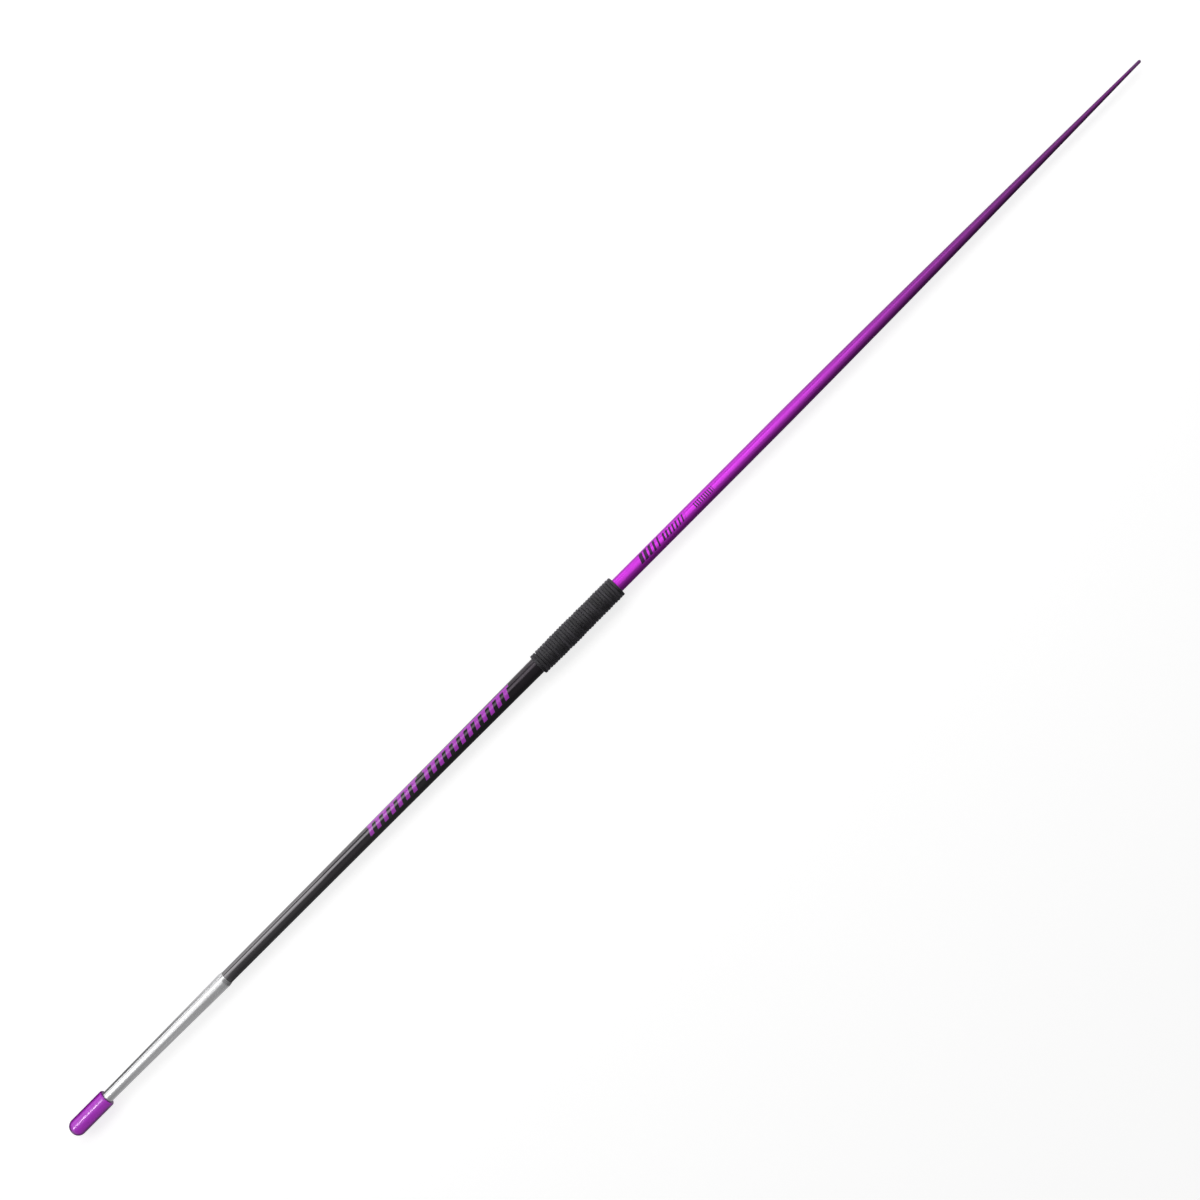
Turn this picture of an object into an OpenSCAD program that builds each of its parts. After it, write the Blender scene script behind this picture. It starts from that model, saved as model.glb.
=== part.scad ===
// A training javelin with a blunt rubber tip, a bright metal head, a black front shaft,
// a bound cord grip and a purple rear shaft that tapers to the tail. Millimetres.
// It lies along X: the nose points to +X, the tail to -X, and +Z is up. The origin is on
// the axis, at the middle of the cord grip. A station is a distance back from the nose.

/* [Overall] */
// Length of the whole javelin, nose to tail
javelin_len = 2200; // [2100:1:2300]
// Distance from the nose to the middle of the cord grip
grip_centre = 1040.5; // [1000:0.5:1080]

/* [Rubber tip] */
// Outer diameter of the rubber tip
tip_d = 26.8; // [24:0.1:32]
// Length of the rubber tip, nose to rim
tip_len = 72; // [60:1:90]
// Length of its rounded nose
nose_len = 12; // [8:0.5:18]
// Rubber ahead of the metal point
nose_wall = 14; // [8:0.5:20]
// Radius of the rim's outer edge
rim_r = 2.2; // [0.5:0.1:3]

/* [Metal head] */
// Length of the metal head, from its point to its rear edge
head_len = 304; // [270:1:330]
// Diameter of the straight point inside the rubber tip
point_d = 18; // [16:0.1:18.8]
// Diameter of the head where it is thickest
head_d = 23.6; // [22.8:0.1:25]
// How late the head widens: 1 is a plain cone
head_curve = 1.3; // [1:0.05:1.6]
// Wall of the head tube ahead of the socket
head_wall = 1.2; // [0.8:0.1:1.6]
// Length of the bevel at the head's rear edge
bevel_len = 5.5; // [3:0.5:10]
// Thickness of the head's rear edge
head_lip = 0.3; // [0.2:0.05:0.6]
// Depth to which the front shaft enters the head
socket_len = 45; // [35:1:60]
// Thickness of the point plug's cap
cap_t = 4; // [3:0.5:8]
// Length of the point plug's stem, inside the head tube
stem_len = 26; // [15:1:40]

/* [Front shaft] */
// Diameter of the front shaft inside the head
front_d = 20.9; // [19.5:0.1:21]
// Diameter of the front shaft under the grip
shaft_d = 26.5; // [25.5:0.1:28]
// Wall of the front shaft
front_wall = 0.9; // [0.7:0.1:1.2]
// How straight its taper runs: 1 is a plain cone, and less swells late
taper_straight = 0.6; // [0.3:0.05:1]

/* [Rear shaft] */
// Diameter of the rear shaft's straight stretch
rear_d = 22.1; // [20:0.1:22.6]
// Wall of the rear shaft's straight stretch
rear_wall = 1.5; // [1:0.1:2]
// Length of the straight stretch behind the grip
straight_len = 318; // [200:1:450]
// Diameter of the rear shaft at the tail plug
tail_d = 5.4; // [4.6:0.1:8]
// Wall of the rear shaft at the tail plug
tail_wall = 1; // [0.8:0.1:1.4]
// How late the tail tapers: 1 is a plain cone
tail_curve = 1.5; // [1:0.05:1.8]

/* [Shaft joint] */
// Length of the rear shaft inside the joint
joint_len = 117; // [90:1:130]
// Distance from the front shaft's rear end to the grip's rear end
joint_inset = 12; // [8:1:20]
// Height of the step that stops the rear shaft at the sleeve
joint_step = 0.25; // [0.2:0.05:0.4]

/* [Cord grip] */
// Length of the cord grip
grip_len = 163; // [150:1:175]
// Diameter over the cord
grip_d = 34.5; // [33:0.1:36]
// Turns of the cord
cord_turns = 24; // [18:1:24]
// Gap between neighbouring turns
cord_gap = 0.5; // [0.45:0.05:0.7]
// Thickness of the rubber base under the cord
base_t = 0.6; // [0.4:0.1:1]
// Distance from each end of the grip to the base under it
base_inset = 1.5; // [1:0.5:3]
// Length of the base's lip, which closes the joint behind the sleeve
lip_len = 4.5; // [3:0.5:8]
// Depth of the flat that the ground presses into the lowest side of the cord
rest_flat = 0.4; // [0.3:0.05:0.5]

/* [Balance weight] */
// Length of the steel slug
weight_len = 32; // [20:1:60]
// Thickness of each rubber stop beside the slug
stop_t = 8; // [5:0.5:15]
// Distance from the rear stop to the start of the tail's taper
weight_inset = 16; // [5:1:60]

/* [Tail plug] */
// Length of the tail plug outside the shaft
plug_len = 22; // [15:1:30]
// Diameter of the tail plug at its rounded end
plug_end_d = 5; // [4:0.1:5.4]
// Length of its stem inside the shaft
plug_stem_len = 15; // [10:1:25]

/* [Fits] */
// Gap round each glued joint
bond_gap = 0.05; // [0.03:0.01:0.08]
// Gap round the metal point inside the rubber tip
tip_fit = 0.05; // [0.03:0.01:0.08]
// Gap between a piece and the shoulder that stops it
seat_gap = 0.3; // [0.2:0.05:0.4]
// Gap between the cord and its base
cord_seat = 0.15; // [0.1:0.05:0.3]

/* [Hidden] */

$fn = 96;

// Points along each curved outline
ARC_STEPS = 8;
TAPER_STEPS = 12;
// Broken edges of the plugs
EDGE = 0.6;

// Radii
tip_r = tip_d / 2;
point_r = point_d / 2;
head_r = head_d / 2;
front_r = front_d / 2;
shaft_r = shaft_d / 2;
rear_r = rear_d / 2;
tail_r = tail_d / 2;
grip_r = grip_d / 2;
socket_r = front_r + bond_gap;
rear_bore_r = rear_r - rear_wall;
spigot_r = rear_r - joint_step;
sleeve_in_r = spigot_r + bond_gap;
sleeve_out_r = shaft_r - front_wall - bond_gap;
base_r = shaft_r + bond_gap + base_t;

// Stations of the head
head_front = nose_wall + seat_gap;
head_rear = head_front + head_len;
cap_rear = head_front + cap_t;
taper_front = tip_len + rim_r;
bevel_front = head_rear - bevel_len;
socket_floor = head_rear - socket_len;

// Stations of the shafts and the grip
grip_front = grip_centre - grip_len / 2;
grip_rear = grip_centre + grip_len / 2;
front_end = grip_rear - joint_inset;
joint_front = grip_rear - joint_len;
base_rear = grip_rear - base_inset;
sleeve_rear = base_rear - lip_len - seat_gap;
straight_end = grip_rear + straight_len;
tail_end = javelin_len - plug_len;

// Stations of the balance weight
weight_rear = straight_end - weight_inset - stop_t;
weight_front = weight_rear - weight_len;

// The cord: its section is a flattened hexagon, wider along the shaft than it is thick
CORD_RINGS = 24;
CORD_SHOULDER = 0.3;
// The turns start on the side, so that a straight side of every turn lies lowest
CORD_START = 37.5;
cord_pitch = (grip_len + cord_gap) / (cord_turns + 1);
cord_w = cord_pitch - cord_gap;
cord_in = (base_r + cord_seat) / cos(180 / CORD_RINGS);
cord_t = grip_r - cord_in;
cord_mid = cord_in + cord_t / 2;
cord_d = (cord_w + cord_t) / 2;
rest_z = rest_flat - grip_r;

// Puts what is drawn up Z, from the nose at 0, along the javelin's axis
module on_axis() {
    translate([grip_centre, 0, 0]) rotate([0, -90, 0]) children();
}

// Turns an outline of [radius, station] points round the axis
module turned(outline) {
    on_axis() rotate_extrude() polygon(outline);
}

// A plain round slug between two stations
module slug(r, from, to) {
    turned([
        [0, from], [r - EDGE, from], [r, from + EDGE],
        [r, to - EDGE], [r - EDGE, to], [0, to]
    ]);
}

// Radius of the head tube, from 0 at the rubber tip's rim to 1 at the bevel
function head_at(u) = point_r + (head_r - point_r) * pow(u, head_curve);

// Radius of the front shaft, from 0 at the head's rear edge to 1 at the grip
function front_at(u) =
    front_r + (shaft_r - front_r) * (taper_straight * u + (1 - taper_straight) * u * u);

// Radius and wall of the rear shaft's tail, from 0 where it starts to taper to 1 at its end
function tail_at(u) = rear_r - (rear_r - tail_r) * pow(u, tail_curve);
function tail_wall_at(u) = rear_wall + (tail_wall - rear_wall) * u;

// Even steps from 0 to 1, and a station at such a step
function steps(count) = [for (i = [0 : count]) i / count];
function between(from, to, u) = from + (to - from) * u;

module rubber_tip() {
    bore_r = point_r + tip_fit;
    nose = [for (u = steps(ARC_STEPS)) [tip_r * sin(90 * u), nose_len * (1 - cos(90 * u))]];
    rim = [for (u = steps(ARC_STEPS))
        [tip_r - rim_r * (1 - cos(90 * u)), tip_len - rim_r * (1 - sin(90 * u))]];
    bore = [[bore_r, tip_len], [bore_r, nose_wall], [0, nose_wall]];
    color("darkorchid") turned(concat(nose, rim, bore));
}

module point_plug() {
    stem_r = point_r - head_wall - bond_gap;
    stem_end = cap_rear + stem_len;
    color("silver") turned([
        [0, head_front], [point_r - 2 * EDGE, head_front], [point_r, head_front + 2 * EDGE],
        [point_r, cap_rear], [stem_r, cap_rear],
        [stem_r, stem_end - EDGE], [stem_r - EDGE, stem_end], [0, stem_end]
    ]);
}

module head_tube() {
    outer_taper = [for (u = steps(TAPER_STEPS)) [head_at(u), between(taper_front, bevel_front, u)]];
    floor_u = (socket_floor - taper_front) / (bevel_front - taper_front);
    inner_taper = [for (u = steps(TAPER_STEPS))
        [head_at(floor_u * (1 - u)) - head_wall, between(socket_floor, taper_front, u)]];
    rear = [[socket_r + head_lip, head_rear], [socket_r, head_rear], [socket_r, socket_floor]];
    color("gainsboro") turned(concat([[point_r, cap_rear]], outer_taper, rear, inner_taper,
        [[point_r - head_wall, cap_rear]]));
}

module front_shaft() {
    front = socket_floor + seat_gap;
    taper = [for (u = steps(TAPER_STEPS)) [front_at(u), between(head_rear, grip_front, u)]];
    outside = concat([[front_r, front]], taper, [[shaft_r, front_end]]);
    last = len(outside) - 1;
    inside = [for (i = [0 : last]) outside[last - i] - [front_wall, 0]];
    color([0.1, 0.1, 0.11]) turned(concat(outside, inside));
}

module joint_sleeve() {
    color("darkgray") turned([
        [sleeve_in_r, joint_front], [sleeve_out_r, joint_front],
        [sleeve_out_r, sleeve_rear], [sleeve_in_r, sleeve_rear]
    ]);
}

module rear_shaft() {
    outer_tail = [for (u = steps(TAPER_STEPS)) [tail_at(u), between(straight_end, tail_end, u)]];
    inner_tail = [for (u = steps(TAPER_STEPS))
        outer_tail[TAPER_STEPS * (1 - u)] - [tail_wall_at(1 - u), 0]];
    joint = [[spigot_r, joint_front], [spigot_r, grip_rear], [rear_r, grip_rear]];
    color([0.74, 0.17, 0.8]) turned(concat(joint, outer_tail, inner_tail,
        [[rear_bore_r, joint_front]]));
}

module weight_stop_front() {
    color([0.2, 0.2, 0.2]) slug(rear_bore_r - bond_gap, weight_front - stop_t, weight_front);
}

module balance_weight() {
    color("slategray") slug(rear_bore_r - bond_gap, weight_front, weight_rear);
}

module weight_stop_rear() {
    color([0.2, 0.2, 0.2]) slug(rear_bore_r - bond_gap, weight_rear, weight_rear + stop_t);
}

// The base steps in twice: behind the front shaft's end onto the joint sleeve, and behind
// the sleeve onto the rear shaft
module grip_base() {
    over_shaft = shaft_r + bond_gap;
    over_sleeve = sleeve_out_r + bond_gap;
    ledge = front_end + seat_gap;
    lip = sleeve_rear + seat_gap;
    front = grip_front + base_inset;
    color([0.15, 0.15, 0.16]) turned([
        [over_shaft, front], [base_r, front], [base_r, base_rear],
        [sleeve_in_r, base_rear], [sleeve_in_r, lip], [over_sleeve, lip],
        [over_sleeve, ledge], [over_shaft, ledge]
    ]);
}

// Corners of the cord's section, as [along the shaft, away from the axis]
cord_section = [
    [cord_w / 2, 0], [cord_w * CORD_SHOULDER, cord_t / 2],
    [-cord_w * CORD_SHOULDER, cord_t / 2], [-cord_w / 2, 0],
    [-cord_w * CORD_SHOULDER, -cord_t / 2], [cord_w * CORD_SHOULDER, -cord_t / 2]
];

// Presses what would lie below the ground up to it
function on_ground(p) = [p.x, p.y, max(p.z, rest_z)];

// One ring of the cord: how many turns on from the start, and how far past it in a straight line
function cord_ring(turns, past) =
    let (
        a = CORD_START + 360 * turns,
        x = (grip_len - cord_w) / 2 - cord_pitch * (turns + past / (2 * PI * cord_mid))
    )
    [for (c = cord_section) on_ground([
        x - c.x,
        (cord_mid + c.y) * cos(a) - past * sin(a),
        (cord_mid + c.y) * sin(a) + past * cos(a)
    ])];

// The turns, with one cord's width of straight run at each end
cord_rings = concat(
    [cord_ring(0, -cord_d)],
    [for (i = [0 : cord_turns * CORD_RINGS]) cord_ring(i / CORD_RINGS, 0)],
    [cord_ring(cord_turns, cord_d)]
);

// Least distance between the corners of one turn and those of the next
function least_gap(rings) = min([
    for (i = [0 : len(rings) - CORD_RINGS - 2])
        for (j = [i + CORD_RINGS - 1 : i + CORD_RINGS + 1])
            for (p = rings[i], q = rings[j]) norm(p - q)
]);

module grip_cord() {
    sides = len(cord_section);
    last = len(cord_rings) - 1;
    points = [for (ring = cord_rings) each ring];
    wall = [for (i = [0 : last - 1], k = [0 : sides - 1])
        let (a = i * sides + k, b = i * sides + (k + 1) % sides)
        each [[a, b, b + sides], [a, b + sides, a + sides]]];
    front_cap = [for (k = [1 : sides - 2]) [0, k + 1, k]];
    rear_cap = [for (k = [1 : sides - 2]) [0, k, k + 1] + last * sides * [1, 1, 1]];
    echo(str("Least gap of the cord to itself: ", least_gap(cord_rings), " mm"));
    color([0.13, 0.13, 0.14]) polyhedron(points, concat(wall, front_cap, rear_cap));
}

module tail_plug() {
    stem_r = tail_r - tail_wall - bond_gap;
    end_r = plug_end_d / 2;
    round_end = [for (u = steps(ARC_STEPS))
        [end_r * cos(90 * u), javelin_len - end_r * (1 - sin(90 * u))]];
    color([0.42, 0.16, 0.5]) turned(concat(
        [[0, tail_end - plug_stem_len], [stem_r, tail_end - plug_stem_len],
            [stem_r, tail_end], [tail_r, tail_end]],
        round_end
    ));
}

rubber_tip();
point_plug();
head_tube();
front_shaft();
joint_sleeve();
rear_shaft();
weight_stop_front();
balance_weight();
weight_stop_rear();
grip_base();
grip_cord();
tail_plug();
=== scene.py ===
# %% [markdown]
# # A training javelin
#
# The real javelin is a blunt rubber tip, a bright metal head, a black front shaft, a grip of wound
# cord, a purple rear shaft and a small plug at the tail. CAD has already given each piece its size
# and place. This notebook loads that frame, makes a finer surface for each piece that shows, gives
# every piece its finish, and sets up a plain studio around it.
#
# The javelin lies along X with its nose to +X, and +Z is up. Blender works in metres.

# %% Load the CAD frame
import math

import bmesh
import bpy
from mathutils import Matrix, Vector


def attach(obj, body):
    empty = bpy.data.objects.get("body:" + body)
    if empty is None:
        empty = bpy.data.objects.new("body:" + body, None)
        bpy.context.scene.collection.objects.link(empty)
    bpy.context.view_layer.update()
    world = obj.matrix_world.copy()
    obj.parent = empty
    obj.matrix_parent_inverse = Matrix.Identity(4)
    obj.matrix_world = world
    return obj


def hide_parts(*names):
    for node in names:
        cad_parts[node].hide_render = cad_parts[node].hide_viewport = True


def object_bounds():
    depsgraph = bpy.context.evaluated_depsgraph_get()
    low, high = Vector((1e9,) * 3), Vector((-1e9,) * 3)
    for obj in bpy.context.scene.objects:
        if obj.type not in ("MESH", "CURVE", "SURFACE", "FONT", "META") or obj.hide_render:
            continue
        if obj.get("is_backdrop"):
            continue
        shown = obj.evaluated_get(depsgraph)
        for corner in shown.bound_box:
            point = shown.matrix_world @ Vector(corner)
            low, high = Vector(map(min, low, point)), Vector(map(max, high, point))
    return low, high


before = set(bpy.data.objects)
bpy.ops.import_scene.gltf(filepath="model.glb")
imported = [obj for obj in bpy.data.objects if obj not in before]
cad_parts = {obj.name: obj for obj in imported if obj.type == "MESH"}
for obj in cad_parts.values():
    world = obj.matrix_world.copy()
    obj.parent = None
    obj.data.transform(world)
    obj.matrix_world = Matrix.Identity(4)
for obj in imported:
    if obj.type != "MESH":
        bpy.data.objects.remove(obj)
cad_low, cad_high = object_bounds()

MM = 0.001
scene = bpy.context.scene
print("CAD box in mm:", [round(side / MM, 2) for side in cad_high - cad_low])

# %% [markdown]
# ## The camera
#
# The photograph looks straight down on the javelin, which runs from corner to corner. Two of its
# pixels are enough to place the camera: the nose and the end of the tail. Their distance gives the
# scale, and their direction gives how far the camera is turned about the vertical. Pixels are
# counted from 0 at their middles, so the middle of a picture 1200 pixels wide is at 599.5.
#
# The height can't be read from those two pixels. It comes from how far the round edges bow in the
# picture, and a greater height would make them straighter.

# %% Place the camera
PHOTO_SIDE = 1200
NOSE_PIXEL = Vector((71.9, 1131.9))
TAIL_PIXEL = Vector((1139.9, 59.9))
CAMERA_HEIGHT = 2.6

span = Vector((TAIL_PIXEL.x - NOSE_PIXEL.x, NOSE_PIXEL.y - TAIL_PIXEL.y))
metres_per_pixel = (cad_high.x - cad_low.x) / span.length
turn = math.pi - math.atan2(span.y, span.x)
picture_right = Vector((math.cos(turn), math.sin(turn), 0))
picture_up = Vector((-math.sin(turn), math.cos(turn), 0))
middle_pixel = (PHOTO_SIDE - 1) / 2
nose_to_middle = Vector((middle_pixel - NOSE_PIXEL.x, NOSE_PIXEL.y - middle_pixel))
aim = Vector((cad_high.x, 0, 0))
aim += picture_right * nose_to_middle.x * metres_per_pixel
aim += picture_up * nose_to_middle.y * metres_per_pixel

lens = bpy.data.cameras.new("camera")
lens.lens = lens.sensor_width * CAMERA_HEIGHT / (PHOTO_SIDE * metres_per_pixel)
camera = bpy.data.objects.new("camera", lens)
camera.location = aim + Vector((0, 0, CAMERA_HEIGHT))
camera.rotation_euler = (0, 0, turn)
scene.collection.objects.link(camera)
scene.camera = camera
print("metres per pixel:", round(metres_per_pixel, 6), "lens in mm:", round(lens.lens, 1))

# %% [markdown]
# ## Building node trees
#
# A finish in Blender is a tree of nodes. Adding a node and joining its sockets takes three or four
# lines each time, so this small class wraps a tree. Every method takes either a socket or a plain
# number, and gives back the socket that the next node reads.

# %% A short way to write node trees
class Tree:
    """A node tree, with one short method for each kind of node that the finishes need"""

    def __init__(self, tree):
        self.tree = tree

    def feed(self, socket, value):
        if isinstance(value, bpy.types.NodeSocket):
            self.tree.links.new(value, socket)
        else:
            socket.default_value = value

    def add(self, kind, feeds=None, **settings):
        node = self.tree.nodes.new(kind)
        for name, value in settings.items():
            setattr(node, name, value)
        for name, value in (feeds or {}).items():
            self.feed(node.inputs[name], value)
        return node

    def math(self, operation, a, b=0.0):
        return self.add("ShaderNodeMath", {0: a, 1: b}, operation=operation).outputs[0]

    def ramp(self, value, start, end, low=0.0, high=1.0):
        feeds = {"Value": value, "From Min": start, "From Max": end, "To Min": low, "To Max": high}
        node = self.add("ShaderNodeMapRange", feeds, interpolation_type="SMOOTHSTEP")
        return node.outputs["Result"]

    def mix(self, factor, a, b):
        node = self.add("ShaderNodeMix", {0: factor, 6: a, 7: b}, data_type="RGBA")
        return node.outputs[2]

    def scaled(self, vector, by):
        node = self.add("ShaderNodeVectorMath", {0: vector, 1: by}, operation="MULTIPLY")
        return node.outputs[0]

    def noise(self, vector, scale, detail=2.0, roughness=0.5):
        feeds = {"Vector": vector, "Scale": scale, "Detail": detail, "Roughness": roughness}
        return self.add("ShaderNodeTexNoise", feeds).outputs["Fac"]

    def bump(self, height, distance, strength=1.0):
        feeds = {"Height": height, "Distance": distance, "Strength": strength}
        return self.add("ShaderNodeBump", feeds).outputs["Normal"]

    def group(self, group, feeds):
        node = self.add("ShaderNodeGroup", node_tree=group)
        for name, value in feeds.items():
            self.feed(node.inputs[name], value)
        return node.outputs

    def seen(self):
        """1 for what the camera sees directly, in a mirror or through glass, and 0 for light"""
        path = self.add("ShaderNodeLightPath").outputs
        direct = self.math("MAXIMUM", path["Is Camera Ray"], path["Is Glossy Ray"])
        return self.math("MAXIMUM", direct, path["Is Transmission Ray"])


print("tree methods:", [name for name in vars(Tree) if not name.startswith("_")])

# %% [markdown]
# ## The studio
#
# The floor is pale and plain, and the javelin rests on it. The photograph's background is white,
# and a floor lit at a natural level renders grey with a strong shadow. So the camera and mirrors see
# a darker paint with some light of its own, which together come to white and leave a faint soft
# shadow. Everything else is lit by the true pale floor. Seen from below, the floor is clear.

# %% Lay the floor
FLOOR_SIDE = 14.0
FLOOR_PAINT = 0.8
FLOOR_PAINT_SEEN = 0.5
FLOOR_LIFT = 0.72
FLOOR_GAP = 0.02 * MM


def new_object(name, vertices, faces):
    """A mesh object at the origin, linked to the scene"""
    mesh = bpy.data.meshes.new(name)
    mesh.from_pydata(vertices, [], faces)
    mesh.update()
    made = bpy.data.objects.new(name, mesh)
    scene.collection.objects.link(made)
    return made


floor_z = cad_low.z - FLOOR_GAP
reach = FLOOR_SIDE / 2
corners = [(-reach, -reach), (reach, -reach), (reach, reach), (-reach, reach)]
floor = new_object("floor", [(x, y, floor_z) for x, y in corners], [(0, 1, 2, 3)])
floor_paint = bpy.data.materials.new("floor_paint")
floor_paint.use_nodes = True
floor_paint.node_tree.nodes.clear()
tree = Tree(floor_paint.node_tree)
seen = tree.seen()
matt = tree.add("ShaderNodeBsdfDiffuse")
tree.feed(matt.inputs["Color"], tree.ramp(seen, 0.0, 1.0, FLOOR_PAINT, FLOOR_PAINT_SEEN))
glow = tree.add("ShaderNodeEmission", {"Strength": tree.math("MULTIPLY", seen, FLOOR_LIFT)})
lit = tree.add("ShaderNodeAddShader", {0: matt.outputs[0], 1: glow.outputs[0]})
clear = tree.add("ShaderNodeBsdfTransparent")
below = tree.add("ShaderNodeNewGeometry").outputs["Backfacing"]
sides = tree.add("ShaderNodeMixShader", {0: below, 1: lit.outputs[0], 2: clear.outputs[0]})
tree.add("ShaderNodeOutputMaterial", {"Surface": sides.outputs[0]})
floor.data.materials.append(floor_paint)
floor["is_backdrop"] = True
print("floor height in mm:", round(floor_z / MM, 2))

# %% [markdown]
# The world is the even light of a bright room. What the camera and the mirrors see of it is white,
# and what it gives as light is less, so that colours render about as they are written.

# %% Light the room
ROOM_LIGHT = 0.36

world = bpy.data.worlds.new("room")
scene.world = world
world.use_nodes = True
world.node_tree.nodes.clear()
tree = Tree(world.node_tree)
white = (1.0, 1.0, 1.0, 1.0)
strength = tree.ramp(tree.seen(), 0.0, 1.0, ROOM_LIGHT, 1.0)
background = tree.add("ShaderNodeBackground", {"Color": white, "Strength": strength})
tree.add("ShaderNodeOutputWorld", {"Surface": background.outputs[0]})
scene.view_settings.view_transform = "Standard"
print("room light:", ROOM_LIGHT)

# %% [markdown]
# Two long soft lamps lie on the lit side, along the javelin, as strip lights do in a studio. A tube
# shows a lamp as a bright line, at half the lamp's angle from the top. So the main lamp at 38
# degrees draws its line 19 degrees from the top, where the photograph has it. The low lamp draws
# the paler line along the lit edge and brightens the side of the cord.

# %% Hang two strip lamps
LAMP_DISTANCE = 1.3
LAMP_LENGTH = 3.8


def strip_lamp(name, angle, width, brightness):
    """A long lamp beside the javelin, angle degrees from overhead towards the lit side"""
    lamp = bpy.data.lights.new(name, "AREA")
    lamp.shape = "RECTANGLE"
    lamp.size = LAMP_LENGTH
    lamp.size_y = width
    lamp.energy = brightness * math.pi * LAMP_LENGTH * width
    holder = bpy.data.objects.new(name, lamp)
    way = Vector((0, -math.sin(math.radians(angle)), math.cos(math.radians(angle))))
    holder.location = way * LAMP_DISTANCE
    holder.rotation_euler = (-way).to_track_quat("-Z", "Y").to_euler()
    holder.visible_camera = False
    scene.collection.objects.link(holder)
    return holder


main_lamp = strip_lamp("main_lamp", angle=38, width=0.6, brightness=1.9)
low_lamp = strip_lamp("low_lamp", angle=80, width=0.4, brightness=1.5)
print("lamps:", main_lamp.name, low_lamp.name)

# %% [markdown]
# Metal is only as dark as what it mirrors. The photograph's tubes turn dark on the side away from
# the lamps, because the studio had grey card there. Each card here is bent round the javelin and
# then lies on the floor beside it. Its grey may change on the way up to overhead. The pieces were
# lit a little differently, so each has a card of its own, and only mirrored rays meet the cards.
# They cast no shadow and add no light.
#
# A tube keeps the slope along X of a ray that it mirrors. So the camera's rays to one place on the
# javelin lean on by the same amount, and a card for that place lies further along X the further out
# it is. Its ends are given as the places on the javelin that mirror them.

# %% Bend grey cards round the dark side
CARD_RADIUS = 0.9
CARD_STEP = 6
CARD_NEAR = 9 * MM
CARD_HEIGHT = floor_z + 1 * MM
LOW_GREY_HEIGHT = 0.3 * CARD_RADIUS


def mirrored_x(place, y, z):
    """Where a ray from the camera to a place on the javelin has got to when it reaches (y, z)"""
    return place + math.hypot(y, z) * (place - camera.location.x) / CAMERA_HEIGHT


def glossy_card(name, line, start, end, low, high, fade=None):
    """A card that only the javelin from x = start to end mirrors; low, high: its greys by height

    With fade, a card is as bright as the room at fade's first x, and has its own grey from its
    second one on.
    """
    points = [(mirrored_x(place, y, z), y, z) for y, z in line for place in (start, end)]
    faces = [(2 * i, 2 * i + 1, 2 * i + 3, 2 * i + 2) for i in range(len(line) - 1)]
    card = new_object(name, points, faces)
    paint = bpy.data.materials.new(name + "_paint")
    paint.use_nodes = True
    paint.node_tree.nodes.clear()
    tree = Tree(paint.node_tree)
    spot = tree.add("ShaderNodeTexCoord").outputs["Object"]
    sides = tree.add("ShaderNodeSeparateXYZ", {0: spot}).outputs
    grey = tree.ramp(sides["Z"], LOW_GREY_HEIGHT, CARD_RADIUS, low, high)
    if fade:
        own = tree.math("SUBTRACT", 1.0, grey)
        darker = tree.math("MULTIPLY", own, tree.ramp(sides["X"], *fade))
        grey = tree.math("SUBTRACT", 1.0, darker)
    surface = tree.add("ShaderNodeEmission", {"Strength": grey})
    tree.add("ShaderNodeOutputMaterial", {"Surface": surface.outputs[0]})
    card.data.materials.append(paint)
    card.visible_camera = False
    card.visible_diffuse = False
    card.visible_shadow = False
    card.visible_transmission = False
    card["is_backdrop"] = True


def bent_line(first, last, radius=CARD_RADIUS):
    """Points of an arc round the javelin, in degrees from overhead towards the dark side"""
    degrees = range(first, last + 1, CARD_STEP)
    angles = [math.radians(angle) for angle in degrees]
    return [(radius * math.sin(angle), radius * math.cos(angle)) for angle in angles]


BEYOND = 1.6
GRIP_REAR = -0.082
GRIP_FRONT = 0.082
HEAD_REAR = 0.722
HEAD_FRONT = 0.97

dark_side = bent_line(first=6, last=90)
dark_side += [(CARD_RADIUS, CARD_HEIGHT), (CARD_NEAR, CARD_HEIGHT)]
glossy_card("tail_card", dark_side, -BEYOND, GRIP_REAR, low=0.12, high=0.75)
glossy_card("shaft_card", dark_side, GRIP_REAR, HEAD_REAR, low=0.13, high=0.26)
glossy_card("head_card", dark_side, HEAD_REAR, HEAD_FRONT, low=0.6, high=0.58)
glossy_card("tip_card", dark_side, HEAD_FRONT, BEYOND, low=0.25, high=0.3)
print("points in a card's line:", len(dark_side))

# %% [markdown]
# The other cards shape what the tubes mirror. A dark one on the lit side draws the dark edge line of
# the tip and head, which fades out towards the back. Others part the two bright lines on the black
# tube, and the dark ones above that tube keep its middle dark. White ones overhead broaden the
# bright band on each tube. On the grip, a dim one above and a pale one beside it keep the light on
# the side of the cord. A narrow bright one draws the single streak on the rubber tip, which mirrors
# so little that it needs a much stronger light. They hang a little nearer than the first cards, so
# that no two lie in one place.

# %% Add the small cards
NEARER = 0.88
TIP_REAR = 0.955
MID_SHAFT = 0.52
BRIGHT_REAR = -0.22
PALE_REAR = -0.65
EDGE_GREY = 0.03
EDGE_FADE = (0.73, 0.92)

lit_edge = bent_line(first=-90, last=-84)[::-1]
lit_edge += [(-CARD_RADIUS, CARD_HEIGHT), (-CARD_NEAR, CARD_HEIGHT)]
glossy_card("edge_card", lit_edge, HEAD_REAR, BEYOND, EDGE_GREY, EDGE_GREY, EDGE_FADE)

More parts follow.
